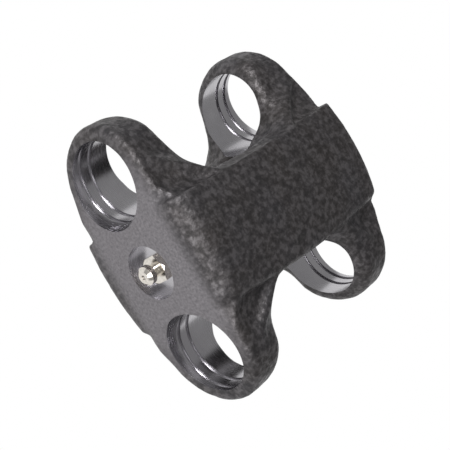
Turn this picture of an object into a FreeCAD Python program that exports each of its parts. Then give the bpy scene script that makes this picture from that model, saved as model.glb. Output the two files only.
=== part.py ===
import FreeCAD, Part
import math
import os

import Sketcher

# Centre yoke of a double cardan (constant velocity) shaft joint: one steel forging with four ears
# round a short ring, and the grease fitting screwed into one cheek.
#
# Frame: the origin is the middle of the centre passage. X runs along the bearing bores, Y along the
# shaft line through the centre passage, and Z is up through the broad band that lies uppermost.

SIZES = {
    # Bearing bores, machined square to X.
    "bore_diameter": 28.575,
    "bore_spacing": 62.5,
    "ring_groove_width": 1.6,
    "ring_groove_depth": 0.75,
    "outer_groove_inset": 4.0,
    "inner_groove_inset": 8.4,
    "lead_in_inset": 1.9,
    "lead_in_angle": 15.0,
    # Ears: spans are taken at the bore axes, angles are the forging draft towards the tips.
    "span_over_ears": 85.6,
    "span_between_ears": 48.2,
    "outer_draft": 6.1,
    "inner_draft": 10.4,
    "front_ear_radius": 18.9,
    "back_ear_radius": 19.3,
    "front_web_reach": 15.0,
    "front_web_height": 26.2,
    "back_web_reach": 16.0,
    "back_web_height": 25.4,
    "web_hollow_radius": 50.0,
    "web_corner_radius": 12.0,
    "front_crotch_reach": 18.0,
    "back_crotch_reach": 20.5,
    "front_corner_radius": 8.0,
    "back_corner_radius": 12.0,
    "ear_inner_rounding": 4.5,
    "ear_outer_rounding": 2.0,
    # Band: the ring round the centre passage, proud of the webs.
    "band_length": 88.6,
    "band_crown_height": 28.0,
    "band_crown_radius": 75.0,
    "band_crown_offset": 1.5,
    "band_near_corner_radius": 7.0,
    "band_far_corner_radius": 3.5,
    "band_front_reach": 17.3,
    "band_front_waist": 16.1,
    "band_back_reach": 19.3,
    "band_back_bulge": 22.0,
    "band_back_skew": 1.0,
    "band_front_rounding": 1.0,
    "band_back_rounding": 2.2,
    "passage_diameter": 38.0,
    "passage_edge_break": 2.0,
    # Grease fitting and its recess in the -X cheek.
    "recess_diameter": 18.8,
    "recess_depth": 3.8,
    "recess_edge_break": 0.3,
    "thread_diameter": 8.0,
    "thread_clearance": 0.05,
    "thread_depth": 8.0,
    "grease_drilling": 3.5,
    "shank_length": 5.5,
    "hex_across_flats": 9.0,
    "hex_height": 2.4,
    "hex_corner_bevel": 0.35,
    "neck_diameter": 4.6,
    "neck_length": 1.5,
    "head_diameter": 6.5,
    "head_length": 3.6,
    "head_flare": 0.8,
    "head_face_diameter": 4.2,
    "head_nose": 1.0,
    "inlet_diameter": 1.6,
    "inlet_depth": 0.6,
    "ball_diameter": 2.5,
    "ball_clearance": 0.1,
    "staked_lip": 0.4,
    "staked_lip_opening": 1.4,
    "spring_wire": 0.3,
    "spring_diameter": 2.0,
    "spring_turns": 7.0,
}

doc = FreeCAD.newDocument("centre_yoke")
sizes = doc.addObject("Spreadsheet::Sheet", "sizes")
for row, (alias, size) in enumerate(SIZES.items(), start=1):
    sizes.set("A%d" % row, alias.replace("_", " "))
    sizes.set("B%d" % row, str(size))
    sizes.setAlias("B%d" % row, alias)
doc.recompute()

# Lengths that follow from the sizes, as expressions on the sheet.
EAR_AXIS = "sizes.bore_spacing / 2"
FACE_AT_AXIS = "sizes.span_over_ears / 2"
GAP_AT_AXIS = "sizes.span_between_ears / 2"
BORE_RADIUS = "sizes.bore_diameter / 2"
BAND_END = "sizes.band_length / 2"
SEAT = "(sizes.band_length / 2 - sizes.recess_depth)"
BEYOND = "(sizes.bore_spacing / 2 + 2 * sizes.back_ear_radius)"
OUTER_SLOPE = "tan(sizes.outer_draft * 1deg)"
INNER_SLOPE = "tan(sizes.inner_draft * 1deg)"
CREST = "(%s + %s * %s)" % (FACE_AT_AXIS, EAR_AXIS, OUTER_SLOPE)


def length(expression):
    """The present value of an expression on the sheet."""
    return float(sizes.evalExpression(expression.replace("sizes.", "")))


def plane(body, role):
    return next(feature for feature in body.Origin.OriginFeatures if feature.Role == role)


def new_body(label):
    body = doc.addObject("PartDesign::Body", label)
    body.Label = label
    return body


def new_sketch(body, name, role):
    sketch = body.newObject("Sketcher::SketchObject", name)
    sketch.AttachmentSupport = (plane(body, role), [""])
    sketch.MapMode = "FlatFace"
    return sketch


def bind(sketch, constraint, expression, kind, *places):
    """Add a dimension named constraint and tie it to an expression on the sheet."""
    index = sketch.addConstraint(Sketcher.Constraint(kind, *places, length(expression)))
    sketch.renameConstraint(index, constraint)
    sketch.setExpression("Constraints." + constraint, expression)


def bind_point(sketch, line, end, name, across, up):
    bind(sketch, name + "_x", across, "DistanceX", -1, 1, line, end)
    bind(sketch, name + "_y", up, "DistanceY", -1, 1, line, end)


def polygon(sketch, name, corners):
    """A closed loop of lines whose corners are (across, up) expressions."""
    points = [FreeCAD.Vector(length(across), length(up), 0) for across, up in corners]
    first = sketch.GeometryCount
    count = len(points)
    for index in range(count):
        sketch.addGeometry(Part.LineSegment(points[index], points[(index + 1) % count]), False)
    for index in range(count):
        following = first + (index + 1) % count
        sketch.addConstraint(Sketcher.Constraint("Coincident", first + index, 2, following, 1))
    for index, (across, up) in enumerate(corners):
        bind_point(sketch, first + index, 1, "%s_%d" % (name, index), across, up)


def edges_where(shape, test):
    return ["Edge%d" % (index + 1) for index, edge in enumerate(shape.Edges) if test(edge)]


def round_edges(body, name, size, test):
    """Fillet the edges of the body's last feature that pass the test."""
    doc.recompute()
    base = body.Tip
    names = edges_where(base.Shape, test)
    if not names:
        raise RuntimeError(name + " found no edge")
    fillet = body.newObject("PartDesign::Fillet", name)
    fillet.Base = (base, names)
    fillet.setExpression("Radius", size)
    return fillet


def pocket_through(body, name, sketch):
    """Cut the sketch right through the body, both ways from its plane."""
    pocket = body.newObject("PartDesign::Pocket", name)
    pocket.Profile = sketch
    pocket.Type = "ThroughAll"
    pocket.Midplane = True
    return pocket


# Band -------------------------------------------------------------------------------------------
def crown_outline(sketch):
    """Upright sides at the widest reaches, joined by one crown arc above and one below."""
    front = "(sizes.band_front_reach + 1)"
    back = "(sizes.band_back_bulge + sizes.band_back_skew + 1)"
    radius = length("sizes.band_crown_radius")
    for side, sign in (("upper", 1), ("lower", -1)):
        centre = FreeCAD.Vector(length("sizes.band_crown_offset"),
                                sign * (length("sizes.band_crown_height") - radius), 0)
        ends = []
        for reach in (length(front), -length(back)):
            ends.append(math.atan2(sign * math.sqrt(radius ** 2 - (reach - centre.x) ** 2),
                                   reach - centre.x))
        start, stop = ends if sign > 0 else reversed(ends)
        circle = Part.Circle(centre, FreeCAD.Vector(0, 0, 1), radius)
        arc = sketch.addGeometry(Part.ArcOfCircle(circle, start, stop), False)
        bind(sketch, side + "_crown", "sizes.band_crown_radius", "Radius", arc)
        bind_point(sketch, arc, 3, side + "_crown_centre", "sizes.band_crown_offset",
                   ("%s" if sign > 0 else "-(%s)") %
                   "sizes.band_crown_height - sizes.band_crown_radius")
    upper, lower = 0, 1
    corners = {}
    for arc, first, last in ((upper, "front", "back"), (lower, "back", "front")):
        geometry = sketch.Geometry[arc]
        corners[arc, 1] = (first, geometry.StartPoint)
        corners[arc, 2] = (last, geometry.EndPoint)
    for (arc_a, end_a), (arc_b, end_b), reach, sign in (
            ((upper, 1), (lower, 2), front, 1), ((upper, 2), (lower, 1), back, -1)):
        side = sketch.addGeometry(
            Part.LineSegment(corners[arc_a, end_a][1], corners[arc_b, end_b][1]), False)
        sketch.addConstraint(Sketcher.Constraint("Coincident", side, 1, arc_a, end_a))
        sketch.addConstraint(Sketcher.Constraint("Coincident", side, 2, arc_b, end_b))
        sketch.addConstraint(Sketcher.Constraint("Vertical", side))
        bind(sketch, corners[arc_a, end_a][0] + "_reach",
             reach if sign > 0 else "-" + reach, "DistanceX", -1, 1, side, 1)


def side_trim(sketch, name, sign, middle, left, right):
    """The stock outside one long side of the band: an arc through three points, closed outwards."""
    end = "(%s + 1)" % BAND_END
    outside = "(sizes.band_back_bulge + sizes.band_back_skew + 6)"
    flip = "%s" if sign > 0 else "-%s"
    points = [FreeCAD.Vector(-length(end), sign * length(left), 0),
              FreeCAD.Vector(0, sign * length(middle), 0),
              FreeCAD.Vector(length(end), sign * length(right), 0)]
    arc = sketch.addGeometry(Part.Arc(*points), False)
    start, stop = 1, 2
    if (sketch.Geometry[arc].StartPoint - points[0]).Length > 0.01:
        start, stop = 2, 1
    corners = [points[2], FreeCAD.Vector(length(end), sign * length(outside), 0),
               FreeCAD.Vector(-length(end), sign * length(outside), 0), points[0]]
    lines = [sketch.addGeometry(Part.LineSegment(a, b), False)
             for a, b in zip(corners, corners[1:])]
    sketch.addConstraint(Sketcher.Constraint("Coincident", lines[0], 1, arc, stop))
    sketch.addConstraint(Sketcher.Constraint("Coincident", lines[0], 2, lines[1], 1))
    sketch.addConstraint(Sketcher.Constraint("Coincident", lines[1], 2, lines[2], 1))
    sketch.addConstraint(Sketcher.Constraint("Coincident", lines[2], 2, arc, start))
    bind_point(sketch, lines[0], 1, name + "_right", end, flip % right)
    bind_point(sketch, lines[0], 2, name + "_right_out", end, flip % outside)
    bind_point(sketch, lines[1], 2, name + "_left_out", "-" + end, flip % outside)
    bind_point(sketch, lines[2], 2, name + "_left", "-" + end, flip % left)
    middle_point = sketch.addGeometry(Part.Point(points[1]), True)
    bind_point(sketch, middle_point, 1, name + "_middle", "0", flip % middle)
    sketch.addConstraint(Sketcher.Constraint("PointOnObject", middle_point, 1, arc))


def make_band():
    """The ring's outer block: crowned above and below, waisted in front, bulged behind."""
    body = new_body("band")
    outline = new_sketch(body, "band_section", "YZ_Plane")
    crown_outline(outline)
    pad = body.newObject("PartDesign::Pad", "band_block")
    pad.Profile = outline
    pad.Midplane = True
    pad.setExpression("Length", "sizes.band_length")
    trim = new_sketch(body, "band_sides", "XY_Plane")
    side_trim(trim, "front", 1, "sizes.band_front_waist", "sizes.band_front_reach",
              "sizes.band_front_reach")
    side_trim(trim, "back", -1, "sizes.band_back_bulge",
              "(sizes.band_back_reach - sizes.band_back_skew)",
              "(sizes.band_back_reach + sizes.band_back_skew)")
    cut = body.newObject("PartDesign::Pocket", "band_side_cut")
    cut.Profile = trim
    cut.Type = "ThroughAll"
    cut.Midplane = True
    half = length(BAND_END)

    def at_end(sign):
        return lambda edge: (abs(edge.CenterOfMass.x - sign * half) < 0.01
                             and abs(edge.CenterOfMass.z) > half / 4)

    round_edges(body, "band_near_corners", "sizes.band_near_corner_radius", at_end(-1))
    round_edges(body, "band_far_corners", "sizes.band_far_corner_radius", at_end(1))

    def along_side(sign):
        return lambda edge: (edge.CenterOfMass.y * sign > 8 and abs(edge.CenterOfMass.z) > 15
                             and edge.BoundBox.ZLength < 9.5)

    round_edges(body, "band_front_edges", "sizes.band_front_rounding", along_side(1))
    round_edges(body, "band_back_edges", "sizes.band_back_rounding", along_side(-1))
    return body


# Ears and webs ----------------------------------------------------------------------------------
def ear_outline(sketch):
    """Both ears and their webs from the side: an arc round each bore, and lines to the ring."""
    sides = (("front", 1, "sizes.front_ear_radius", "sizes.front_web_reach",
              "sizes.front_web_height"),
             ("back", -1, "sizes.back_ear_radius", "sizes.back_web_reach",
              "sizes.back_web_height"))
    hollow = length("sizes.web_hollow_radius")
    webs = {}
    for name, sign, radius_of, reach_of, height_of in sides:
        flip = "%s" if sign > 0 else "-%s"
        axis = FreeCAD.Vector(sign * length(EAR_AXIS), 0, 0)
        radius = length(radius_of)
        root = FreeCAD.Vector(sign * length(reach_of), length(height_of), 0)
        centre = meeting_centre(axis, radius + hollow, root, hollow)
        touch = axis + (centre - axis) * (radius / (radius + hollow))
        low_root, low_centre, low_touch = (FreeCAD.Vector(point.x, -point.y, 0)
                                           for point in (root, centre, touch))
        start, end = (low_touch, touch) if sign > 0 else (touch, low_touch)
        arc = long_arc(sketch, axis, start, end)
        ends = {"upper": (touch, 2 if sign > 0 else 1), "lower": (low_touch, 1 if sign > 0 else 2)}
        bind(sketch, name + "_radius", radius_of, "Radius", arc)
        bind_point(sketch, arc, 3, name + "_axis", flip % ("(%s)" % EAR_AXIS), "0")
        for side, top, middle in (("upper", root, centre), ("lower", low_root, low_centre)):
            meeting, arc_end = ends[side]
            web, root_end = arc_between(sketch, middle, top, meeting)
            webs[name, side] = (web, root_end)
            sketch.addConstraint(Sketcher.Constraint("Tangent", web, 3 - root_end, arc, arc_end))
            bind(sketch, "%s_%s_hollow" % (name, side), "sizes.web_hollow_radius", "Radius", web)
            bind_point(sketch, web, root_end, "%s_%s_web" % (name, side), flip % reach_of,
                       height_of if side == "upper" else "-" + height_of)
    for side in ("upper", "lower"):
        front, front_end = webs["front", side]
        back, back_end = webs["back", side]
        a = sketch.Geometry[front]
        b = sketch.Geometry[back]
        line = sketch.addGeometry(Part.LineSegment(
            a.StartPoint if front_end == 1 else a.EndPoint,
            b.StartPoint if back_end == 1 else b.EndPoint), False)
        sketch.addConstraint(Sketcher.Constraint("Coincident", line, 1, front, front_end))
        sketch.addConstraint(Sketcher.Constraint("Coincident", line, 2, back, back_end))


def meeting_centre(first, first_distance, second, second_distance):
    """The higher of the two points at the given distances from two others."""
    span = second - first
    along = (first_distance ** 2 - second_distance ** 2 + span.Length ** 2) / (2 * span.Length)
    rise = math.sqrt(first_distance ** 2 - along ** 2)
    step = FreeCAD.Vector(span)
    step.normalize()
    square = FreeCAD.Vector(-step.y, step.x, 0)
    choices = (first + step * along + square * rise, first + step * along - square * rise)
    return max(choices, key=lambda point: point.y)


def long_arc(sketch, centre, start, end):
    """The arc about centre that runs anticlockwise from start to end."""
    a = math.atan2(start.y - centre.y, start.x - centre.x)
    b = math.atan2(end.y - centre.y, end.x - centre.x)
    circle = Part.Circle(centre, FreeCAD.Vector(0, 0, 1), (start - centre).Length)
    return sketch.addGeometry(Part.ArcOfCircle(circle, a, b if b > a else b + 2 * math.pi), False)


def arc_between(sketch, centre, start, end):
    """The shorter arc about centre; gives its number and which of its ends is the start."""
    a = math.atan2(start.y - centre.y, start.x - centre.x)
    b = math.atan2(end.y - centre.y, end.x - centre.x)
    if (b - a) % (2 * math.pi) < math.pi:
        return long_arc(sketch, centre, start, end), 1
    return long_arc(sketch, centre, end, start), 2


def fork_gap(body, name, sign, reach_of):
    """The gap between two ears: drafted sides that open towards the tips, and a flat crotch."""
    flip = "%s" if sign > 0 else "-%s"
    bottom = "(%s + (%s - (%s)) * %s)" % (GAP_AT_AXIS, reach_of, EAR_AXIS, INNER_SLOPE)
    mouth = "(%s + (%s - (%s)) * %s)" % (GAP_AT_AXIS, BEYOND, EAR_AXIS, INNER_SLOPE)
    sketch = new_sketch(body, name + "_outline", "XY_Plane")
    polygon(sketch, name, [(bottom, flip % reach_of), (mouth, flip % BEYOND),
                           ("-" + mouth, flip % BEYOND), ("-" + bottom, flip % reach_of)])
    pocket = body.newObject("PartDesign::Pocket", name)
    pocket.Profile = sketch
    pocket.Type = "ThroughAll"
    pocket.Midplane = True
    return pocket


def outer_draft(body):
    """A wedge off each side, so that the ears thin from the middle towards their tips."""
    tip = "(%s - (%s - (%s)) * %s)" % (FACE_AT_AXIS, BEYOND, EAR_AXIS, OUTER_SLOPE)
    outside = "(%s + 1)" % CREST
    sketch = new_sketch(body, "outer_draft_outline", "XY_Plane")
    for side in ("", "-"):
        polygon(sketch, "draft_" + ("left" if side else "right"), [
            (side + CREST, "0"), (side + tip, BEYOND), (side + outside, BEYOND),
            (side + outside, "-" + BEYOND), (side + tip, "-" + BEYOND)])
    pocket_through(body, "outer_draft_cut", sketch)


def flat_cheeks(body):
    """Level the crest between the two drafts with the ends of the band."""
    face = "(%s)" % BAND_END
    outside = "(%s + 1)" % CREST
    sketch = new_sketch(body, "cheek_outline", "XY_Plane")
    for side in ("", "-"):
        polygon(sketch, "cheek_" + ("left" if side else "right"), [
            (side + face, "-(%s)" % EAR_AXIS), (side + outside, "-(%s)" % EAR_AXIS),
            (side + outside, "(%s)" % EAR_AXIS), (side + face, "(%s)" % EAR_AXIS)])
    pocket_through(body, "cheek_cut", sketch)


def make_ears(body):
    outline = new_sketch(body, "ear_section", "YZ_Plane")
    ear_outline(outline)
    pad = body.newObject("PartDesign::Pad", "ear_block")
    pad.Profile = outline
    pad.Midplane = True
    pad.setExpression("Length", "2 * " + CREST)
    fork_gap(body, "front_fork_gap", 1, "sizes.front_crotch_reach")
    fork_gap(body, "back_fork_gap", -1, "sizes.back_crotch_reach")
    outer_draft(body)

    def in_gap(sign):
        return lambda edge: (is_upright(edge) and abs(edge.CenterOfMass.x) < length(GAP_AT_AXIS)
                             and edge.CenterOfMass.y * sign > 0)

    round_edges(body, "front_crotch_corners", "sizes.front_corner_radius", in_gap(1))
    round_edges(body, "back_crotch_corners", "sizes.back_corner_radius", in_gap(-1))
    middle = (length(FACE_AT_AXIS) + length(GAP_AT_AXIS)) / 2
    crotches = (length("sizes.front_crotch_reach"), -length("sizes.back_crotch_reach"))

    def on_gap_wall(edge):
        centre = edge.CenterOfMass
        if abs(centre.x) > middle or is_upright(edge):
            return False
        if is_crosswise(edge):
            return min(abs(centre.y - reach) for reach in crotches) < 0.01
        return abs(centre.y) > crotches[0]

    def on_outer_face(edge):
        centre = edge.CenterOfMass
        return (abs(centre.x) > middle and not is_upright(edge) and not is_crosswise(edge)
                and abs(centre.y) > length("sizes.front_web_reach"))

    round_edges(body, "ear_inner_edges", "sizes.ear_inner_rounding", on_gap_wall)
    round_edges(body, "ear_outer_edges", "sizes.ear_outer_rounding", on_outer_face)
    doc.recompute()
    flat_cheeks(body)


def is_upright(edge):
    return edge.BoundBox.XLength < 0.01 and edge.BoundBox.YLength < 0.01


def is_crosswise(edge):
    return edge.BoundBox.YLength < 0.01 and edge.BoundBox.ZLength < 0.01


def long_corners(sketch):
    """The stock outside the webs' four rounded corners, seen along the shaft line."""
    radius = length("sizes.web_corner_radius")
    side = length(BAND_END)
    top = length("sizes.front_web_height")
    for name, right, up in (("upper_right", 1, 1), ("upper_left", -1, 1),
                            ("lower_left", -1, -1), ("lower_right", 1, -1)):
        centre = FreeCAD.Vector(right * (side - radius), up * (top - radius), 0)
        start = math.atan2(up, right) - math.pi / 4
        circle = Part.Circle(centre, FreeCAD.Vector(0, 0, 1), radius)
        arc = sketch.addGeometry(Part.ArcOfCircle(circle, start, start + math.pi / 2), False)
        outer = FreeCAD.Vector(right * (side + 1), up * (top + 1), 0)
        first = sketch.Geometry[arc].StartPoint
        last = sketch.Geometry[arc].EndPoint
        across_first = abs(first.x) > abs(last.x)
        a = FreeCAD.Vector(outer.x, first.y, 0) if across_first else FreeCAD.Vector(first.x, outer.y, 0)
        b = FreeCAD.Vector(last.x, outer.y, 0) if across_first else FreeCAD.Vector(outer.x, last.y, 0)
        corners = [last, b, outer, a, first]
        lines = [sketch.addGeometry(Part.LineSegment(p, q), False)
                 for p, q in zip(corners, corners[1:])]
        sketch.addConstraint(Sketcher.Constraint("Coincident", lines[0], 1, arc, 2))
        sketch.addConstraint(Sketcher.Constraint("Coincident", lines[3], 2, arc, 1))
        for before, after in zip(lines, lines[1:]):
            sketch.addConstraint(Sketcher.Constraint("Coincident", before, 2, after, 1))
        steps = ("Vertical", "Horizontal", "Vertical", "Horizontal")
        if not across_first:
            steps = ("Horizontal", "Vertical", "Horizontal", "Vertical")
        for line, step in zip(lines, steps):
            sketch.addConstraint(Sketcher.Constraint(step, line))
        bind(sketch, name + "_radius", "sizes.web_corner_radius", "Radius", arc)
        across_sign = "" if right > 0 else "-"
        up_sign = "" if up > 0 else "-"
        bind_point(sketch, arc, 3, name + "_centre",
                   across_sign + "(%s - sizes.web_corner_radius)" % BAND_END,
                   up_sign + "(sizes.front_web_height - sizes.web_corner_radius)")
        bind_point(sketch, lines[1], 2, name + "_outer", across_sign + "(%s + 1)" % BAND_END,
                   up_sign + "(sizes.front_web_height + 1)")
        for end in (1, 2):
            if (end == 1) == across_first:
                bind(sketch, "%s_end_%d" % (name, end),
                     up_sign + "(sizes.front_web_height - sizes.web_corner_radius)",
                     "DistanceY", -1, 1, arc, end)
            else:
                bind(sketch, "%s_end_%d" % (name, end),
                     across_sign + "(%s - sizes.web_corner_radius)" % BAND_END,
                     "DistanceX", -1, 1, arc, end)


# Cutting ----------------------------------------------------------------------------------------
def turn(body, name, kind, sketch, axis):
    """A full turn of the sketch about its construction line or one of its own axes."""
    feature = body.newObject("PartDesign::" + kind, name)
    feature.Profile = sketch
    feature.ReferenceAxis = (sketch, [axis])
    feature.Angle = 360.0
    return feature


def bore_ears(body):
    """One bar bores both front ears in line, with ring grooves and lead-ins; the back repeats it."""
    sketch = new_sketch(body, "bore_section", "XY_Plane")
    line = sketch.addGeometry(
        Part.LineSegment(FreeCAD.Vector(-10, length(EAR_AXIS), 0),
                         FreeCAD.Vector(10, length(EAR_AXIS), 0)), True)
    bind_point(sketch, line, 1, "bar_start", "-10", EAR_AXIS)
    bind_point(sketch, line, 2, "bar_end", "10", EAR_AXIS)
    face = "(%s)" % FACE_AT_AXIS
    wall = "(%s + %s)" % (EAR_AXIS, BORE_RADIUS)
    floor = "(%s + %s + sizes.ring_groove_depth)" % (EAR_AXIS, BORE_RADIUS)
    lead = "(%s - sizes.lead_in_inset)" % face
    outside = "(%s + 1)" % BAND_END
    flare = "(%s + (%s - %s) * tan(sizes.lead_in_angle * 1deg))" % (wall, outside, lead)
    steps = []
    for inset in ("sizes.inner_groove_inset", "sizes.outer_groove_inset"):
        inner = "(%s - %s - sizes.ring_groove_width / 2)" % (face, inset)
        outer = "(%s - %s + sizes.ring_groove_width / 2)" % (face, inset)
        steps += [(inner, wall), (inner, floor), (outer, floor), (outer, wall)]
    steps += [(lead, wall), (outside, flare), (outside, "(%s)" % EAR_AXIS)]
    corners = steps + [("-" + across, up) for across, up in reversed(steps)]
    polygon(sketch, "bore", corners)
    groove = turn(body, "front_bores", "Groove", sketch, "Axis0")
    doc.recompute()
    mirror = body.newObject("PartDesign::Mirrored", "back_bores")
    mirror.Originals = [groove]
    mirror.MirrorPlane = (plane(body, "XZ_Plane"), [""])
    body.Tip = mirror


def open_passage(body):
    """The round opening through the ring, with its rim broken at both crotches."""
    radius = "(sizes.passage_diameter / 2)"
    rim = "(sizes.passage_diameter / 2 + sizes.passage_edge_break)"
    front = "(sizes.front_crotch_reach - sizes.passage_edge_break)"
    back = "-(sizes.back_crotch_reach - sizes.passage_edge_break)"
    beyond = "(%s + sizes.back_corner_radius)"
    sketch = new_sketch(body, "passage_section", "XY_Plane")
    polygon(sketch, "passage", [
        ("0", "-" + beyond % "sizes.back_crotch_reach"),
        (rim, "-" + beyond % "sizes.back_crotch_reach"),
        (rim, "-sizes.back_crotch_reach"),
        (radius, back),
        (radius, front),
        (rim, "sizes.front_crotch_reach"),
        (rim, beyond % "sizes.front_crotch_reach"),
        ("0", beyond % "sizes.front_crotch_reach")])
    turn(body, "centre_passage", "Groove", sketch, "V_Axis")


def machine_recess(body):
    """Spot-faced seat, tapped hole and grease drilling on the middle line of the -X cheek."""
    mouth = "(sizes.recess_diameter / 2)"
    thread = "(sizes.thread_diameter / 2 + sizes.thread_clearance)"
    drill = "(sizes.grease_drilling / 2)"
    face = "-(%s)" % BAND_END
    seat = "-" + SEAT
    bottom = "-(%s - sizes.thread_depth)" % SEAT
    point = "-(%s - sizes.thread_depth - (%s - %s) / tan(59deg))" % (SEAT, thread, drill)
    inside = "-(sizes.passage_diameter / 2 - 2)"
    sketch = new_sketch(body, "recess_section", "XY_Plane")
    polygon(sketch, "recess", [
        ("-(%s + 1)" % BAND_END, "0"),
        ("-(%s + 1)" % BAND_END, "(%s + sizes.recess_edge_break + 1)" % mouth),
        ("-(%s - sizes.recess_edge_break)" % BAND_END, mouth),
        (seat, mouth),
        (seat, thread),
        (bottom, thread),
        (point, drill),
        (inside, drill),
        (inside, "0")])
    turn(body, "fitting_recess", "Groove", sketch, "H_Axis")


def make_yoke():
    band = make_band()
    body = new_body("forged_yoke")
    make_ears(body)
    corners = new_sketch(body, "long_corner_section", "XZ_Plane")
    long_corners(corners)
    pocket_through(body, "long_corner_cut", corners)
    doc.recompute()
    joined = body.newObject("PartDesign::Boolean", "ring_joined")
    joined.Type = "Fuse"
    joined.setObjects([band])
    doc.recompute()
    bore_ears(body)
    open_passage(body)
    machine_recess(body)
    doc.recompute()
    return body


# Grease fitting, drawn upright: its seat is at Z = 0 and its nose points up.
NECK_TOP = "(sizes.hex_height + sizes.neck_length)"
TIP = "(sizes.hex_height + sizes.neck_length + sizes.head_length)"
INLET_END = "(%s - sizes.inlet_depth)" % TIP
BALL_CENTRE = ("(%s - sqrt(sizes.ball_diameter * sizes.ball_diameter - sizes.inlet_diameter"
               " * sizes.inlet_diameter) / 2)" % INLET_END)
COIL_RADIUS = "((sizes.spring_diameter - sizes.spring_wire) / 2)"
COIL_TOP = ("(%s - sqrt((sizes.ball_diameter + sizes.spring_wire) * (sizes.ball_diameter"
            " + sizes.spring_wire) / 4 - %s * %s))" % (BALL_CENTRE, COIL_RADIUS, COIL_RADIUS))
COIL_BOTTOM = "(sizes.staked_lip + sizes.spring_wire / 2 - sizes.shank_length)"


def stand_in_recess(body):
    """Turn the fitting's own upward axis to -X and bring its seat to the recess floor."""
    body.Placement = FreeCAD.Placement(FreeCAD.Vector(-length(SEAT), 0, 0),
                                       FreeCAD.Rotation(FreeCAD.Vector(0, 1, 0), -90))


def make_fitting_body():
    body = new_body("grease_fitting_body")
    hexagon = new_sketch(body, "hex_outline", "XY_Plane")
    across = "(sizes.hex_across_flats / 2 / cos(30deg))"
    polygon(hexagon, "hex", [("%s * %s" % (across, "cos(%ddeg)" % angle),
                              "%s * %s" % (across, "sin(%ddeg)" % angle))
                             for angle in range(0, 360, 60)])
    pad = body.newObject("PartDesign::Pad", "hex_block")
    pad.Profile = hexagon
    pad.setExpression("Length", "sizes.hex_height")
    bevel = new_sketch(body, "hex_bevel_section", "XZ_Plane")
    corner = across
    low = "(sizes.hex_height - sizes.hex_corner_bevel)"
    polygon(bevel, "bevel", [
        (corner, low),
        ("(%s + 2)" % corner, low),
        ("(%s + 2)" % corner, "(sizes.hex_height + 1)"),
        ("(%s - (1 + sizes.hex_corner_bevel) / tan(30deg))" % corner, "(sizes.hex_height + 1)")])
    turn(body, "hex_bevel", "Groove", bevel, "V_Axis")
    stem = new_sketch(body, "stem_section", "XZ_Plane")
    shank = "(sizes.thread_diameter / 2)"
    neck = "(sizes.neck_diameter / 2)"
    head = "(sizes.head_diameter / 2)"
    nose = "(sizes.head_face_diameter / 2)"
    polygon(stem, "stem", [
        ("0", "-sizes.shank_length"),
        (shank, "-sizes.shank_length"),
        (shank, "0"),
        (neck, "(sizes.hex_height / 2)"),
        (neck, NECK_TOP),
        (head, "(%s + sizes.head_flare)" % NECK_TOP),
        (head, "(%s - sizes.head_nose)" % TIP),
        (nose, TIP),
        ("0", TIP)])
    turn(body, "stem", "Revolution", stem, "V_Axis")
    hollow = new_sketch(body, "hollow_section", "XZ_Plane")
    lip = "(sizes.staked_lip_opening / 2)"
    chamber = "((sizes.ball_diameter + sizes.ball_clearance) / 2)"
    inlet = "(sizes.inlet_diameter / 2)"
    polygon(hollow, "hollow", [
        ("0", "-(sizes.shank_length + 1)"),
        (lip, "-(sizes.shank_length + 1)"),
        (lip, "-(sizes.shank_length - sizes.staked_lip)"),
        (chamber, "-(sizes.shank_length - sizes.staked_lip)"),
        (chamber, INLET_END),
        (inlet, INLET_END),
        (inlet, "(%s + 1)" % TIP),
        ("0", "(%s + 1)" % TIP)])
    turn(body, "hollow", "Groove", hollow, "V_Axis")
    stand_in_recess(body)
    return body


def make_fitting_ball():
    body = new_body("grease_fitting_ball")
    ball = body.newObject("PartDesign::AdditiveSphere", "check_ball")
    ball.setExpression("Radius", "sizes.ball_diameter / 2")
    ball.AttachmentOffset = FreeCAD.Placement(FreeCAD.Vector(0, 0, length(BALL_CENTRE)),
                                              FreeCAD.Rotation())
    ball.AttachmentSupport = (plane(body, "XY_Plane"), [""])
    ball.MapMode = "FlatFace"
    ball.setExpression("AttachmentOffset.Base.z", BALL_CENTRE)
    stand_in_recess(body)
    return body


def make_fitting_spring():
    body = new_body("grease_fitting_spring")
    wire = new_sketch(body, "wire_section", "XZ_Plane")
    circle = sketch_circle(wire, COIL_RADIUS, COIL_BOTTOM)
    bind(wire, "wire", "sizes.spring_wire / 2", "Radius", circle)
    helix = body.newObject("PartDesign::AdditiveHelix", "coils")
    helix.Profile = wire
    helix.ReferenceAxis = (wire, ["V_Axis"])
    helix.Mode = "height-turns-angle"
    helix.setExpression("Height", "%s - %s" % (COIL_TOP, COIL_BOTTOM))
    helix.setExpression("Turns", "sizes.spring_turns")
    stand_in_recess(body)
    return body


def sketch_circle(sketch, across, up):
    centre = FreeCAD.Vector(length(across), length(up), 0)
    circle = sketch.addGeometry(Part.Circle(centre, FreeCAD.Vector(0, 0, 1), 0.15), False)
    bind_point(sketch, circle, 3, "centre", across, up)
    return circle


# Build, check and write -------------------------------------------------------------------------
pieces = [make_yoke(), make_fitting_body(), make_fitting_ball(), make_fitting_spring()]
doc.recompute()

for item in doc.Objects:
    if "Invalid" in item.State or "Error" in item.State:
        raise RuntimeError("%s did not compute: %s" % (item.Name, item.State))

for item in doc.Objects:
    if item.TypeId in ("PartDesign::Pocket", "PartDesign::Groove"):
        if item.Shape.Volume >= item.BaseFeature.Shape.Volume - 1e-6:
            raise RuntimeError("%s removes nothing" % item.Name)

os.makedirs("parts", exist_ok=True)
for body in pieces:
    shape = body.Shape
    if shape.isNull() or not shape.isValid() or len(shape.Solids) != 1:
        raise RuntimeError("%s is not one sound solid" % body.Label)
    print(body.Label, round(shape.Volume, 3), shape.BoundBox)
    shape.exportStep("parts/%s.step" % body.Label)
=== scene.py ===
"""Forged centre yoke with its grease fitting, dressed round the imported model."""
import math

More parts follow.
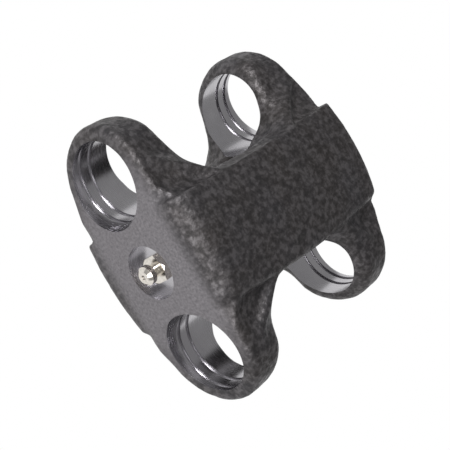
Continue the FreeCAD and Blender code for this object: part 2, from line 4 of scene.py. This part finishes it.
import bmesh
import bpy
import numpy as np
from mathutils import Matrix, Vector


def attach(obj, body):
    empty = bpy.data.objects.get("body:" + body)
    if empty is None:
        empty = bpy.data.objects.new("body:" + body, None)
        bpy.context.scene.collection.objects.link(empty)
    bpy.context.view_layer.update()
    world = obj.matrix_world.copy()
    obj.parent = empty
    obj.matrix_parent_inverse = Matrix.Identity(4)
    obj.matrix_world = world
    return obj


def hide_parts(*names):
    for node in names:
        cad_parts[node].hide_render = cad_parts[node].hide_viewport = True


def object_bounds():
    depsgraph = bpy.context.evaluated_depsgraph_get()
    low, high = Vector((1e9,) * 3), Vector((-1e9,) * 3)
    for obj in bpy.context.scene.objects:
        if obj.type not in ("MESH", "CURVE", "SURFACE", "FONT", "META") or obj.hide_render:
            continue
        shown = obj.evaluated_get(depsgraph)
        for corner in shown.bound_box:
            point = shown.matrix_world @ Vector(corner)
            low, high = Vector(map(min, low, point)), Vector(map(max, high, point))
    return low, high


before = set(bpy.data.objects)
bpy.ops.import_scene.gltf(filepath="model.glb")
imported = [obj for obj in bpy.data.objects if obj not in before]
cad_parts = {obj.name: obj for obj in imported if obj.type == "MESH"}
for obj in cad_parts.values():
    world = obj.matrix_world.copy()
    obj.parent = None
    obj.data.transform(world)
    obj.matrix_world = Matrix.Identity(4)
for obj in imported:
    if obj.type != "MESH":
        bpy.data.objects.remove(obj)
CAD_LOW, CAD_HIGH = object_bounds()
MM = 0.001

# Main sizes of the forging, in millimetres, as in the part's source.
AXIS = 31.25
BORE = 14.2875
FACE = 42.8
GAP = 24.1
END = 44.3
OUT_SLOPE = math.tan(math.radians(6.1))
IN_SLOPE = math.tan(math.radians(10.4))
OUT_SCALE = 0.994
IN_SCALE = 0.984
PASSAGE = 19.0
WEB_HOLLOW = 50.0
WEB_CORNER = 12.0
OUTER_ROUND = 2.6
INNER_ROUND = 4.5
CROWN_HEIGHT = 28.0
CROWN_RADIUS = 75.0
CROWN_OFFSET = 1.5
NEAR_CORNER = 7.0
FAR_CORNER = 3.5
FRONT_WAIST = 16.1
FRONT_BEND = 1.2
BACK_BULGE = 22.0
BACK_BEND = 2.7
BACK_SKEW = 1.0
FRONT_ROUND = 0.8
BACK_ROUND = 2.2
BAND_FILLET = 1.2
PASSAGE_ROUND = 1.6
FRONT = {"ear": 18.9, "root_y": 15.0, "root_z": 26.2, "crotch": 18.0, "corner": 8.0}
BACK = {"ear": 19.3, "root_y": 16.0, "root_z": 25.4, "crotch": 20.5, "corner": 12.0}

# Bored and drilled places.
GROOVE_INSETS = (8.4, 4.0)
GROOVE_HALF_WIDTH = 0.8
GROOVE_DEPTH = 0.75
GROOVE_BEVEL = 0.06
LEAD_IN = 1.9
LEAD_ANGLE = 15
RECESS_RADIUS = 9.4
RECESS_DEPTH = 3.8
THREAD_RADIUS = 4.05
THREAD_END = 11.8
DRILL_POINT = 13.0
DRILLING = 1.75

# Side of one cell of the grid on which the skin is made.
GRID = 0.8


# Distance field ---------------------------------------------------------------------------------
def meet(a, b, radius):
    """Inside both, with the outer edge rounded."""
    u = np.maximum(a + radius, 0)
    v = np.maximum(b + radius, 0)
    return np.minimum(np.maximum(a, b), -radius) + np.hypot(u, v)


def join(a, b, radius):
    """Inside either, with a fillet in the corner between them."""
    return -meet(-a, -b, radius)


def smooth(value, low, high):
    t = np.clip((value - low) / (high - low), 0, 1)
    return t * t * (3 - 2 * t)


def arc_height(y, side):
    """Height of the web's outline: a hollow arc from its root, tangent to the ear's circle."""
    axis, hollow = AXIS, WEB_HOLLOW
    ear, root_y, root_z = side["ear"], side["root_y"], side["root_z"]
    span = np.array([root_y - axis, root_z])
    length = np.hypot(*span)
    along = ((ear + hollow) ** 2 - hollow ** 2 + length ** 2) / (2 * length)
    rise = math.sqrt((ear + hollow) ** 2 - along ** 2)
    step = span / length
    options = [np.array([axis, 0]) + step * along + np.array([-step[1], step[0]]) * rise * sign
               for sign in (1, -1)]
    centre = max(options, key=lambda point: point[1])
    touch = axis + (centre[0] - axis) * ear / (ear + hollow)
    web = centre[1] - np.sqrt(np.maximum(hollow ** 2 - (y - centre[0]) ** 2, 0))
    circle = np.sqrt(np.maximum(ear ** 2 - (y - axis) ** 2, 0))
    height = np.where(y < touch, web, circle)
    return np.where(y < root_y, root_z, height), touch


def ear_profile(y, z, side, lift):
    """Signed distance, near enough, of the ear and web outline on one side of the ring."""
    ear = side["ear"]
    step = 0.05
    height, touch = arc_height(y, side)
    slope = (arc_height(y + step, side)[0] - height) / step
    slope = np.clip(slope, -2.0, 2.0)
    web = (z - height - lift) / np.sqrt(1 + slope ** 2)
    circle = np.hypot(y - AXIS, z) - ear
    return np.where(y < touch, web, circle - lift * smooth(y, AXIS + 12, touch))


def rib_lift(ax, ay, front):
    """How far the web's top stands above its plain outline: a rib that runs from the ear's outer
    shoulder in to the band, with a hollow on each side of it."""
    start = np.array([38.0, 31.0]) if front else np.array([35.0, 33.0])
    stop = np.array([18.0, 16.3]) if front else np.array([16.0, 20.0])
    step = (stop - start) / np.hypot(*(stop - start))
    side = (ax - start[0]) * step[1] - (ay - start[1]) * step[0]
    along = (ax - start[0]) * step[0] + (ay - start[1]) * step[1]
    inner = np.maximum(side, 0)
    outer = np.maximum(-side, 0)
    rib = 0.9 * np.exp(-(side / 1.8) ** 2)
    fall = -1.4 * smooth(inner, 0.0, 6.0)
    hollow = -1.6 * smooth(outer, 0.5, 4.5) * (1 - smooth(outer, 9.0, 14.0))
    fade = smooth(along, -3.0, 5.0)
    return (rib + fall + hollow) * fade


def field(x, y, z):
    """Negative inside the forging, in millimetres; the bores are cut later."""
    ax = np.abs(x)
    ay = np.abs(y)
    az = np.abs(z)
    front = y > 0
    face = FACE - (ay - AXIS) * OUT_SLOPE
    gap = GAP + (ay - AXIS) * IN_SLOPE
    outer = np.maximum((ax - face) * OUT_SCALE, ax - END)

    crotch = np.where(front, FRONT["crotch"] - y, BACK["crotch"] + y)
    corner = np.where(front, FRONT["corner"], BACK["corner"])
    u = np.maximum(corner - (gap - ax) * IN_SCALE, 0)
    v = np.maximum(corner + crotch, 0)
    opening = np.where((u > 0) & (v > 0), np.hypot(u, v) - corner,
                       np.maximum((ax - gap) * IN_SCALE, crotch))

    lift = np.where(front, rib_lift(ax, ay, True), rib_lift(ax, ay, False))
    profile = np.where(front, ear_profile(ay, az, FRONT, lift), ear_profile(ay, az, BACK, lift))
    ears = meet(profile, outer, OUTER_ROUND)
    ears = np.maximum(ears, meet(ax - END, az - FRONT["root_z"], WEB_CORNER))
    ears = meet(ears, -opening, INNER_ROUND)

    sweep = np.sqrt(np.maximum(CROWN_RADIUS ** 2 - (y - CROWN_OFFSET) ** 2, 0))
    crown = CROWN_HEIGHT - CROWN_RADIUS + sweep
    top = (az - crown) * 0.98
    radius = np.where(x < 0, NEAR_CORNER, FAR_CORNER)
    bar = meet(top, ax - END, radius)
    share = x / (END + 1)
    bend = share ** 2
    bar = meet(bar, y - (FRONT_WAIST + FRONT_BEND * bend), FRONT_ROUND)
    bar = meet(bar, -y - (BACK_BULGE - BACK_BEND * bend + BACK_SKEW * share), BACK_ROUND)

    body = join(ears, bar, BAND_FILLET)
    hole = PASSAGE - np.hypot(x, z)
    return meet(body, hole, PASSAGE_ROUND)


def surface_net(function, low, high, step):
    """One vertex in each grid cell that the surface crosses, and one face on each crossed edge."""
    counts = [int(math.ceil((h - l) / step)) + 1 for l, h in zip(low, high)]
    axes = [l + step * np.arange(n) for l, n in zip(low, counts)]
    values = np.empty(counts, np.float32)
    for index, x in enumerate(axes[0]):
        values[index] = function(np.full((counts[1], counts[2]), x),
                                 axes[1][:, None] + np.zeros((1, counts[2])),
                                 axes[2][None, :] + np.zeros((counts[1], 1)))
    cells = tuple(n - 1 for n in counts)
    total = np.zeros(cells + (3,), np.float32)
    number = np.zeros(cells, np.int32)
    inside = values < 0
    crossings = []
    for axis in range(3):
        head = [slice(None)] * 3
        tail = [slice(None)] * 3
        head[axis] = slice(0, -1)
        tail[axis] = slice(1, None)
        a = values[tuple(head)]
        b = values[tuple(tail)]
        crossed = inside[tuple(head)] != inside[tuple(tail)]
        share = np.where(crossed, a / np.where(crossed, a - b, 1), 0)
        crossings.append((crossed, inside[tuple(head)]))
        others = [k for k in range(3) if k != axis]
        for du in (0, 1):
            for dv in (0, 1):
                part = [slice(None)] * 3
                part[others[0]] = slice(du, du + cells[others[0]])
                part[others[1]] = slice(dv, dv + cells[others[1]])
                mask = crossed[tuple(part)]
                grid = np.nonzero(mask)
                place = np.stack([g.astype(np.float32) for g in grid], 1)
                place[:, others[0]] += du
                place[:, others[1]] += dv
                place[:, axis] += share[tuple(part)][grid]
                total[grid] += place
                number[grid] += 1
    used = number > 0
    index = np.full(cells, -1, np.int64)
    index[used] = np.arange(used.sum())
    points = total[used] / number[used][:, None] * step + np.array(low)
    quads = []
    for axis in range(3):
        crossed, starts = crossings[axis]
        others = [k for k in range(3) if k != axis]
        part = [slice(None)] * 3
        part[others[0]] = slice(1, -1)
        part[others[1]] = slice(1, -1)
        grid = np.nonzero(crossed[tuple(part)])
        base = [g.copy() for g in grid]
        base[others[0]] += 1
        base[others[1]] += 1
        forward = starts[tuple(base)]
        ring = []
        for du, dv in ((-1, -1), (0, -1), (0, 0), (-1, 0)):
            cell = [b.copy() for b in base]
            cell[others[0]] += du
            cell[others[1]] += dv
            ring.append(index[tuple(cell)])
        ring = np.stack(ring, 1)
        if axis == 1:
            forward = ~forward
        ring[~forward] = ring[~forward][:, ::-1]
        quads.append(ring)
    return points.astype(float), np.concatenate(quads)


def gradient(function, points, reach=0.05):
    x, y, z = points.T
    return np.stack([function(x + reach, y, z) - function(x - reach, y, z),
                     function(x, y + reach, z) - function(x, y - reach, z),
                     function(x, y, z + reach) - function(x, y, z - reach)], 1) / (2 * reach)


def settle(function, points, rounds=3):
    """Bring points onto the surface of a distance field."""
    for _ in range(rounds):
        slope = gradient(function, points)
        value = function(*points.T)
        size = np.maximum((slope ** 2).sum(1), 0.05)
        move = slope * (value / size)[:, None]
        reach = np.linalg.norm(move, axis=1)
        move *= np.minimum(1, 0.4 / np.maximum(reach, 1e-9))[:, None]
        points = points - move
    return points


# Meshes -----------------------------------------------------------------------------------------
def mesh_object(name, points, faces, scale=MM):
    mesh = bpy.data.meshes.new(name)
    mesh.from_pydata([tuple(p) for p in np.asarray(points) * scale], [],
                     [tuple(int(i) for i in face) for face in faces])
    mesh.update()
    thing = bpy.data.objects.new(name, mesh)
    bpy.context.scene.collection.objects.link(thing)
    return thing


def revolve(profile, axis, centre, steps=160):
    """A closed solid turned about a line along an axis; the profile's ends are on the line."""
    points = []
    faces = []
    others = [k for k in range(3) if k != axis]
    inner = profile[1:-1]
    for along, radius in inner:
        for step in range(steps):
            angle = 2 * math.pi * step / steps
            point = [0.0, 0.0, 0.0]
            point[axis] = along
            point[others[0]] = radius * math.cos(angle)
            point[others[1]] = radius * math.sin(angle)
            points.append([p + c for p, c in zip(point, centre)])
    ends = []
    for along, _ in (profile[0], profile[-1]):
        point = [0.0, 0.0, 0.0]
        point[axis] = along
        ends.append(len(points))
        points.append([p + c for p, c in zip(point, centre)])
    for row in range(len(inner) - 1):
        for step in range(steps):
            after = (step + 1) % steps
            faces.append((row * steps + step, row * steps + after,
                          (row + 1) * steps + after, (row + 1) * steps + step))
    last = (len(inner) - 1) * steps
    for step in range(steps):
        after = (step + 1) % steps
        faces.append((ends[0], after, step))
        faces.append((ends[1], last + step, last + after))
    return points, faces


def cutter(name, profile, axis, centre, steps=160):
    points, faces = revolve(profile, axis, centre, steps)
    thing = mesh_object(name, points, faces)
    bpy.context.view_layer.objects.active = thing
    bm = bmesh.new()
    bm.from_mesh(thing.data)
    bmesh.ops.recalc_face_normals(bm, faces=bm.faces)
    bm.to_mesh(thing.data)
    bm.free()
    return thing


def bore_profile():
    """Half section of the boring bar: lead-in, two ring grooves and the plain bore."""
    right = []
    lead = FACE - LEAD_IN
    floor = BORE + GROOVE_DEPTH
    for inset in GROOVE_INSETS:
        inner = FACE - inset - GROOVE_HALF_WIDTH
        outer = FACE - inset + GROOVE_HALF_WIDTH
        right += [(inner, BORE), (inner + GROOVE_BEVEL, floor), (outer - GROOVE_BEVEL, floor),
                  (outer, BORE)]
    flare = (END + 1 - lead) * math.tan(math.radians(LEAD_ANGLE))
    right += [(lead, BORE), (END + 1, BORE + flare)]
    left = [(-along, radius) for along, radius in reversed(right)]
    return [(-END - 1, 0)] + left + right + [(END + 1, 0)]


# Roughness of the forging skin -------------------------------------------------------------------
def lattice(ix, iy, iz, seed):
    """A repeatable number from -1 to 1 for each whole-number point."""
    n = (ix.astype(np.int64) * 73856093) ^ (iy.astype(np.int64) * 19349663) ^ (
        iz.astype(np.int64) * 83492791) ^ (seed * 2654435761)
    n = (n ^ (n >> 13)) * 1274126177
    n = n ^ (n >> 16)
    return ((n & 0xFFFF) / 32767.5) - 1.0


def noise(points, size, seed):
    """Smooth value noise with features about size millimetres across."""
    scaled = points / size
    base = np.floor(scaled)
    part = scaled - base
    part = part * part * (3 - 2 * part)
    ix, iy, iz = base.T.astype(np.int64)
    total = np.zeros(len(points))
    for dx in (0, 1):
        for dy in (0, 1):
            for dz in (0, 1):
                weight = (np.where(dx, part[:, 0], 1 - part[:, 0])
                          * np.where(dy, part[:, 1], 1 - part[:, 1])
                          * np.where(dz, part[:, 2], 1 - part[:, 2]))
                total += weight * lattice(ix + dx, iy + dy, iz + dz, seed)
    return total


def skin_height(points):
    """Height of the skin above the clean form, in millimetres; the cheeks are smoother."""
    x, _, z = points.T
    height = 0.10 * noise(points, 7.0, 3) + 0.07 * noise(points, 2.6, 5) + 0.05 * noise(points, 1.4, 9)
    height += 0.05 * np.abs(noise(points, 1.0, 13)) - 0.05
    cheek = smooth(np.abs(x), 41.0, 43.0) * (1 - smooth(np.abs(z), 17, 22))
    height *= 1 - 0.65 * cheek
    return height


# Materials --------------------------------------------------------------------------------------
def new_material(name):
    material = bpy.data.materials.new(name)
    material.use_nodes = True
    tree = material.node_tree
    shader = next(node for node in tree.nodes if node.type == "BSDF_PRINCIPLED")
    return material, tree, shader


class Nodes:
    """Short ways to add and join shader nodes."""

    def __init__(self, tree):
        self.tree = tree

    def add(self, kind, **values):
        node = self.tree.nodes.new(kind)
        for key, value in values.items():
            setattr(node, key, value)
        return node

    def link(self, a, b):
        self.tree.links.new(a, b)

    def coordinates(self, scale=(1, 1, 1)):
        source = self.add("ShaderNodeTexCoord")
        mapping = self.add("ShaderNodeMapping")
        mapping.inputs["Scale"].default_value = scale
        self.link(source.outputs["Object"], mapping.inputs["Vector"])
        return mapping.outputs["Vector"]

    def noise(self, vector, scale, detail=2.0, roughness=0.5, distortion=0.0):
        node = self.add("ShaderNodeTexNoise")
        node.inputs["Scale"].default_value = scale
        node.inputs["Detail"].default_value = detail
        node.inputs["Roughness"].default_value = roughness
        node.inputs["Distortion"].default_value = distortion
        self.link(vector, node.inputs["Vector"])
        return node.outputs["Fac"]

    def cells(self, vector, scale):
        node = self.add("ShaderNodeTexVoronoi")
        node.inputs["Scale"].default_value = scale
        self.link(vector, node.inputs["Vector"])
        return node.outputs["Distance"]

    def ramp(self, value, *stops):
        node = self.add("ShaderNodeValToRGB")
        while len(node.color_ramp.elements) < len(stops):
            node.color_ramp.elements.new(0.5)
        for element, (place, colour) in zip(node.color_ramp.elements, stops):
            element.position = place
            element.color = (*colour, 1)
        self.link(value, node.inputs["Fac"])
        return node.outputs["Color"]

    def span(self, value, low, high, to_low, to_high):
        node = self.add("ShaderNodeMapRange")
        node.inputs["From Min"].default_value = low
        node.inputs["From Max"].default_value = high
        node.inputs["To Min"].default_value = to_low
        node.inputs["To Max"].default_value = to_high
        self.link(value, node.inputs["Value"])
        return node.outputs["Result"]

    def math(self, operation, a, b=None, clamp=False):
        node = self.add("ShaderNodeMath", operation=operation, use_clamp=clamp)
        for slot, value in ((0, a), (1, b)):
            if value is None:
                continue
            if isinstance(value, (int, float)):
                node.inputs[slot].default_value = value
            else:
                self.link(value, node.inputs[slot])
        return node.outputs["Value"]

    def mix(self, share, a, b, blend="MIX"):
        node = self.add("ShaderNodeMix", data_type="RGBA", blend_type=blend)
        for key, value in (("Factor", share), ("A", a), ("B", b)):
            sockets = [s for s in node.inputs if s.name == key and s.enabled]
            socket = sockets[0]
            if isinstance(value, (int, float)):
                socket.default_value = value
            elif isinstance(value, tuple):
                socket.default_value = (*value, 1)
            else:
                self.link(value, socket)
        return next(s for s in node.outputs if s.name == "Result" and s.enabled)

    def bump(self, height, strength, distance, normal=None):
        node = self.add("ShaderNodeBump")
        node.inputs["Strength"].default_value = strength
        node.inputs["Distance"].default_value = distance
        self.link(height, node.inputs["Height"])
        if normal is not None:
            self.link(normal, node.inputs["Normal"])
        return node.outputs["Normal"]


def forging_skin():
    """Shot-blasted black oxide: dark and finely speckled, with a paler grey painted on the cheek faces
    as a painted sheen for the light they reflect.
    """
    material, tree, shader = new_material("forging_skin")
    n = Nodes(tree)
    vector = n.coordinates()
    # The cheek mask paints a paler grey here: a painted sheen for the light the cheek faces reflect.
    attribute = n.add("ShaderNodeAttribute", attribute_name="cheek_sheen")
    cheek_sheen = attribute.outputs["Fac"]
    fine = n.noise(vector, 1100.0, 2.0, 0.6)
    grain = n.noise(vector, 520.0, 3.0, 0.6)
    wide = n.noise(vector, 60.0, 2.0, 0.5)
    tone = n.ramp(grain, (0.36, (0.012, 0.011, 0.011)), (0.5, (0.045, 0.041, 0.042)),
                  (0.62, (0.10, 0.093, 0.096)))
    tint = n.ramp(wide, (0.35, (0.042, 0.036, 0.034)), (0.65, (0.052, 0.05, 0.056)))
    dark = n.mix(0.35, tone, tint)
    # Paler colour of the painted sheen on the cheek faces.
    pale = n.ramp(fine, (0.3, (0.10, 0.094, 0.10)), (0.7, (0.17, 0.16, 0.17)))
    colour = n.mix(cheek_sheen, dark, pale)
    n.link(colour, shader.inputs["Base Color"])
    shader.inputs["Metallic"].default_value = 0.55
    rough = n.span(grain, 0.3, 0.7, 0.62, 0.42)
    n.link(rough, shader.inputs["Roughness"])
    pits = n.cells(vector, 700.0)
    height = n.math("ADD", n.math("MULTIPLY", grain, 1.0), n.math("MULTIPLY", pits, 0.5))
    height = n.math("ADD", height, n.math("MULTIPLY", fine, 0.4))
    n.link(n.bump(height, 0.75, 0.00035), shader.inputs["Normal"])
    return material


def machined_bore():
    """Fine-bored steel: bright, with faint turning rings round X."""
    material, tree, shader = new_material("machined_bore")
    n = Nodes(tree)
    rings = n.noise(n.coordinates((3800, 40, 40)), 1.0, 2.0, 0.7)
    cloud = n.noise(n.coordinates(), 45.0, 3.0, 0.6)
    colour = n.ramp(cloud, (0.3, (0.42, 0.41, 0.43)), (0.7, (0.55, 0.54, 0.56)))
    n.link(colour, shader.inputs["Base Color"])
    shader.inputs["Metallic"].default_value = 1.0
    n.link(n.span(rings, 0.3, 0.7, 0.2, 0.3), shader.inputs["Roughness"])
    n.link(n.bump(rings, 0.12, 0.00004), shader.inputs["Normal"])
    return material


def plain_metal(name, colour, roughness, grain=900.0, strength=0.1):
    material, tree, shader = new_material(name)
    n = Nodes(tree)
    speck = n.noise(n.coordinates(), grain, 2.0, 0.6)
    darker = tuple(0.8 * c for c in colour)
    n.link(n.ramp(speck, (0.3, darker), (0.7, colour)), shader.inputs["Base Color"])
    shader.inputs["Metallic"].default_value = 1.0
    n.link(n.span(speck, 0.3, 0.7, roughness * 0.8, roughness * 1.25), shader.inputs["Roughness"])
    n.link(n.bump(speck, strength, 0.00003), shader.inputs["Normal"])
    return material


# The forging ------------------------------------------------------------------------------------
def build_forging():
    low = (-46.0, -53.0, -30.0)
    high = (46.0, 53.0, 30.0)
    points, quads = surface_net(field, low, high, GRID)
    points = settle(field, points)
    normal = gradient(field, points, GRID / 2)
    normal /= np.maximum(np.linalg.norm(normal, axis=1), 1e-6)[:, None]
    points = points + normal * skin_height(points)[:, None]
    margin = 0.02
    points = np.clip(points, np.array(CAD_LOW) / MM + margin, np.array(CAD_HIGH) / MM - margin)
    forging = mesh_object("forging", points, quads)
    skin = forging_skin()
    bored = machined_bore()
    forging.data.materials.append(skin)
    forging.data.materials.append(bored)
    for polygon in forging.data.polygons:
        polygon.use_smooth = True

    profile = bore_profile()
    seat = -END + RECESS_DEPTH
    recess = [(-END - 1, 0), (-END - 1, RECESS_RADIUS), (seat, RECESS_RADIUS),
              (seat, THREAD_RADIUS), (-END + THREAD_END, THREAD_RADIUS),
              (-END + DRILL_POINT, DRILLING), (-PASSAGE + 2, DRILLING), (-PASSAGE + 2, 0)]
    tools = [cutter("bar_front", profile, 0, (0, AXIS, 0), 192),
             cutter("bar_back", profile, 0, (0, -AXIS, 0), 192),
             cutter("bar_recess", recess, 0, (0, 0, 0), 128)]
    for tool in tools:
        tool.data.materials.append(bored)
        for polygon in tool.data.polygons:
            polygon.use_smooth = True
        cut = forging.modifiers.new("cut", "BOOLEAN")
        cut.operation = "DIFFERENCE"
        cut.solver = "MANIFOLD"
        cut.material_mode = "TRANSFER"
        cut.object = tool
    bpy.context.view_layer.update()
    graph = bpy.context.evaluated_depsgraph_get()
    final = bpy.data.meshes.new_from_object(forging.evaluated_get(graph))
    forging.modifiers.clear()
    forging.data = final
    for tool in tools:
        bpy.data.objects.remove(tool)
    final.set_sharp_from_angle(angle=math.radians(35))
    paint_cheek_sheen(final)
    return forging


def paint_cheek_sheen(mesh):
    """A per-point amount of painted sheen: the skin's colour is painted greyer on the cheeks, for the
    light the cheek faces reflect.
    """
    count = len(mesh.vertices)
    flat = np.zeros(count * 3, np.float32)
    mesh.vertices.foreach_get("co", flat)
    points = flat.reshape(-1, 3) / MM
    x, y, z = points.T
    # Where the painted sheen lies: the cheek faces, fading out towards the band in z.
    cheek = smooth(np.abs(x), 41.5, 44.0) * (1 - smooth(np.abs(z), 15, 23))
    attribute = mesh.attributes.new("cheek_sheen", "FLOAT", "POINT")
    attribute.data.foreach_set("value", cheek.astype(np.float32))


forging = build_forging()
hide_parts("forged_yoke")
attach(forging, "root")

FITTING_METALS = {"grease_fitting_body": ("nickel_plate", (0.78, 0.74, 0.68), 0.18),
                  "grease_fitting_ball": ("ball_steel", (0.5, 0.49, 0.48), 0.25),
                  "grease_fitting_spring": ("spring_wire", (0.4, 0.39, 0.38), 0.35)}
for node, metal in FITTING_METALS.items():
    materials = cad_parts[node].data.materials
    materials.clear()
    materials.append(plain_metal(*metal))


# Stage ------------------------------------------------------------------------------------------
def make_floor():
    """A pale floor that keeps the shadow and is white to the camera."""
    size = 3.0
    points = [(-size, -size, 0), (size, -size, 0), (size, size, 0), (-size, size, 0)]
    floor = mesh_object("floor", points, [(0, 1, 2, 3)], 1.0)
    floor.location.z = CAD_LOW.z - 0.0002
    material, tree, shader = new_material("pale_floor")
    n = Nodes(tree)
    n.link(n.ramp(n.noise(n.coordinates(), 3.0), (0.3, (0.86, 0.86, 0.86)), (0.7, (0.9, 0.9, 0.9))),
           shader.inputs["Base Color"])
    shader.inputs["Roughness"].default_value = 0.9
    shader.inputs["Specular IOR Level"].default_value = 0.1
    paths = n.add("ShaderNodeLightPath")
    seen = n.math("MAXIMUM", paths.outputs["Is Camera Ray"],
                  n.math("MAXIMUM", paths.outputs["Is Glossy Ray"],
                         paths.outputs["Is Transmission Ray"]))
    glow = n.add("ShaderNodeEmission")
    glow.inputs["Color"].default_value = (1, 1, 1, 1)
    glow.inputs["Strength"].default_value = 1.0
    blend = n.add("ShaderNodeMixShader")
    n.link(seen, blend.inputs["Fac"])
    n.link(shader.outputs["BSDF"], blend.inputs[1])
    n.link(glow.outputs["Emission"], blend.inputs[2])
    output = next(node for node in tree.nodes if node.type == "OUTPUT_MATERIAL")
    n.link(blend.outputs["Shader"], output.inputs["Surface"])
    floor.data.materials.append(material)


def make_world():
    """Even pale surroundings, white to the camera."""
    world = bpy.data.worlds.new("studio")
    bpy.context.scene.world = world
    world.use_nodes = True
    tree = world.node_tree
    n = Nodes(tree)
    background = next(node for node in tree.nodes if node.type == "BACKGROUND")
    paths = n.add("ShaderNodeLightPath")
    background.inputs["Color"].default_value = (1, 1, 1, 1)
    n.link(n.span(paths.outputs["Is Camera Ray"], 0, 1, 0.35, 1.0), background.inputs["Strength"])


def area_light(name, place, size, power):
    """A rectangular lamp that faces the middle of the part."""
    data = bpy.data.lights.new(name, "AREA")
    data.shape = "RECTANGLE"
    data.size = size[0]
    data.size_y = size[1]
    data.energy = power
    lamp = bpy.data.objects.new(name, data)
    bpy.context.scene.collection.objects.link(lamp)
    lamp.location = place
    lamp.rotation_euler = (-Vector(place)).to_track_quat("-Z", "Y").to_euler()


def make_camera():
    """The viewing angle: from the fitting's side and above, rolled as the view is."""
    data = bpy.data.cameras.new("camera")
    data.lens = 77.06
    data.sensor_width = 36.0
    data.clip_start = 0.01
    camera = bpy.data.objects.new("camera", data)
    bpy.context.scene.collection.objects.link(camera)
    forward = Vector((0.68088, -0.06893, -0.72915)).normalized()
    up = Vector((0.41526, 0.85640, 0.30681))
    right = forward.cross(up).normalized()
    up = right.cross(forward)
    matrix = camera.matrix_world.copy()
    matrix.identity()
    for row in range(3):
        matrix[row][0] = right[row]
        matrix[row][1] = up[row]
        matrix[row][2] = -forward[row]
    matrix[0][3], matrix[1][3], matrix[2][3] = -0.2312, 0.02196, 0.2407
    camera.matrix_world = matrix
    bpy.context.scene.camera = camera


make_floor()
make_world()
make_camera()
area_light("key", (-0.35, 0.45, 0.55), (0.35, 0.35), 6.0)
area_light("left", (-0.6, -0.1, 0.15), (0.3, 0.5), 3.0)

bpy.context.scene.view_settings.view_transform = "Standard"
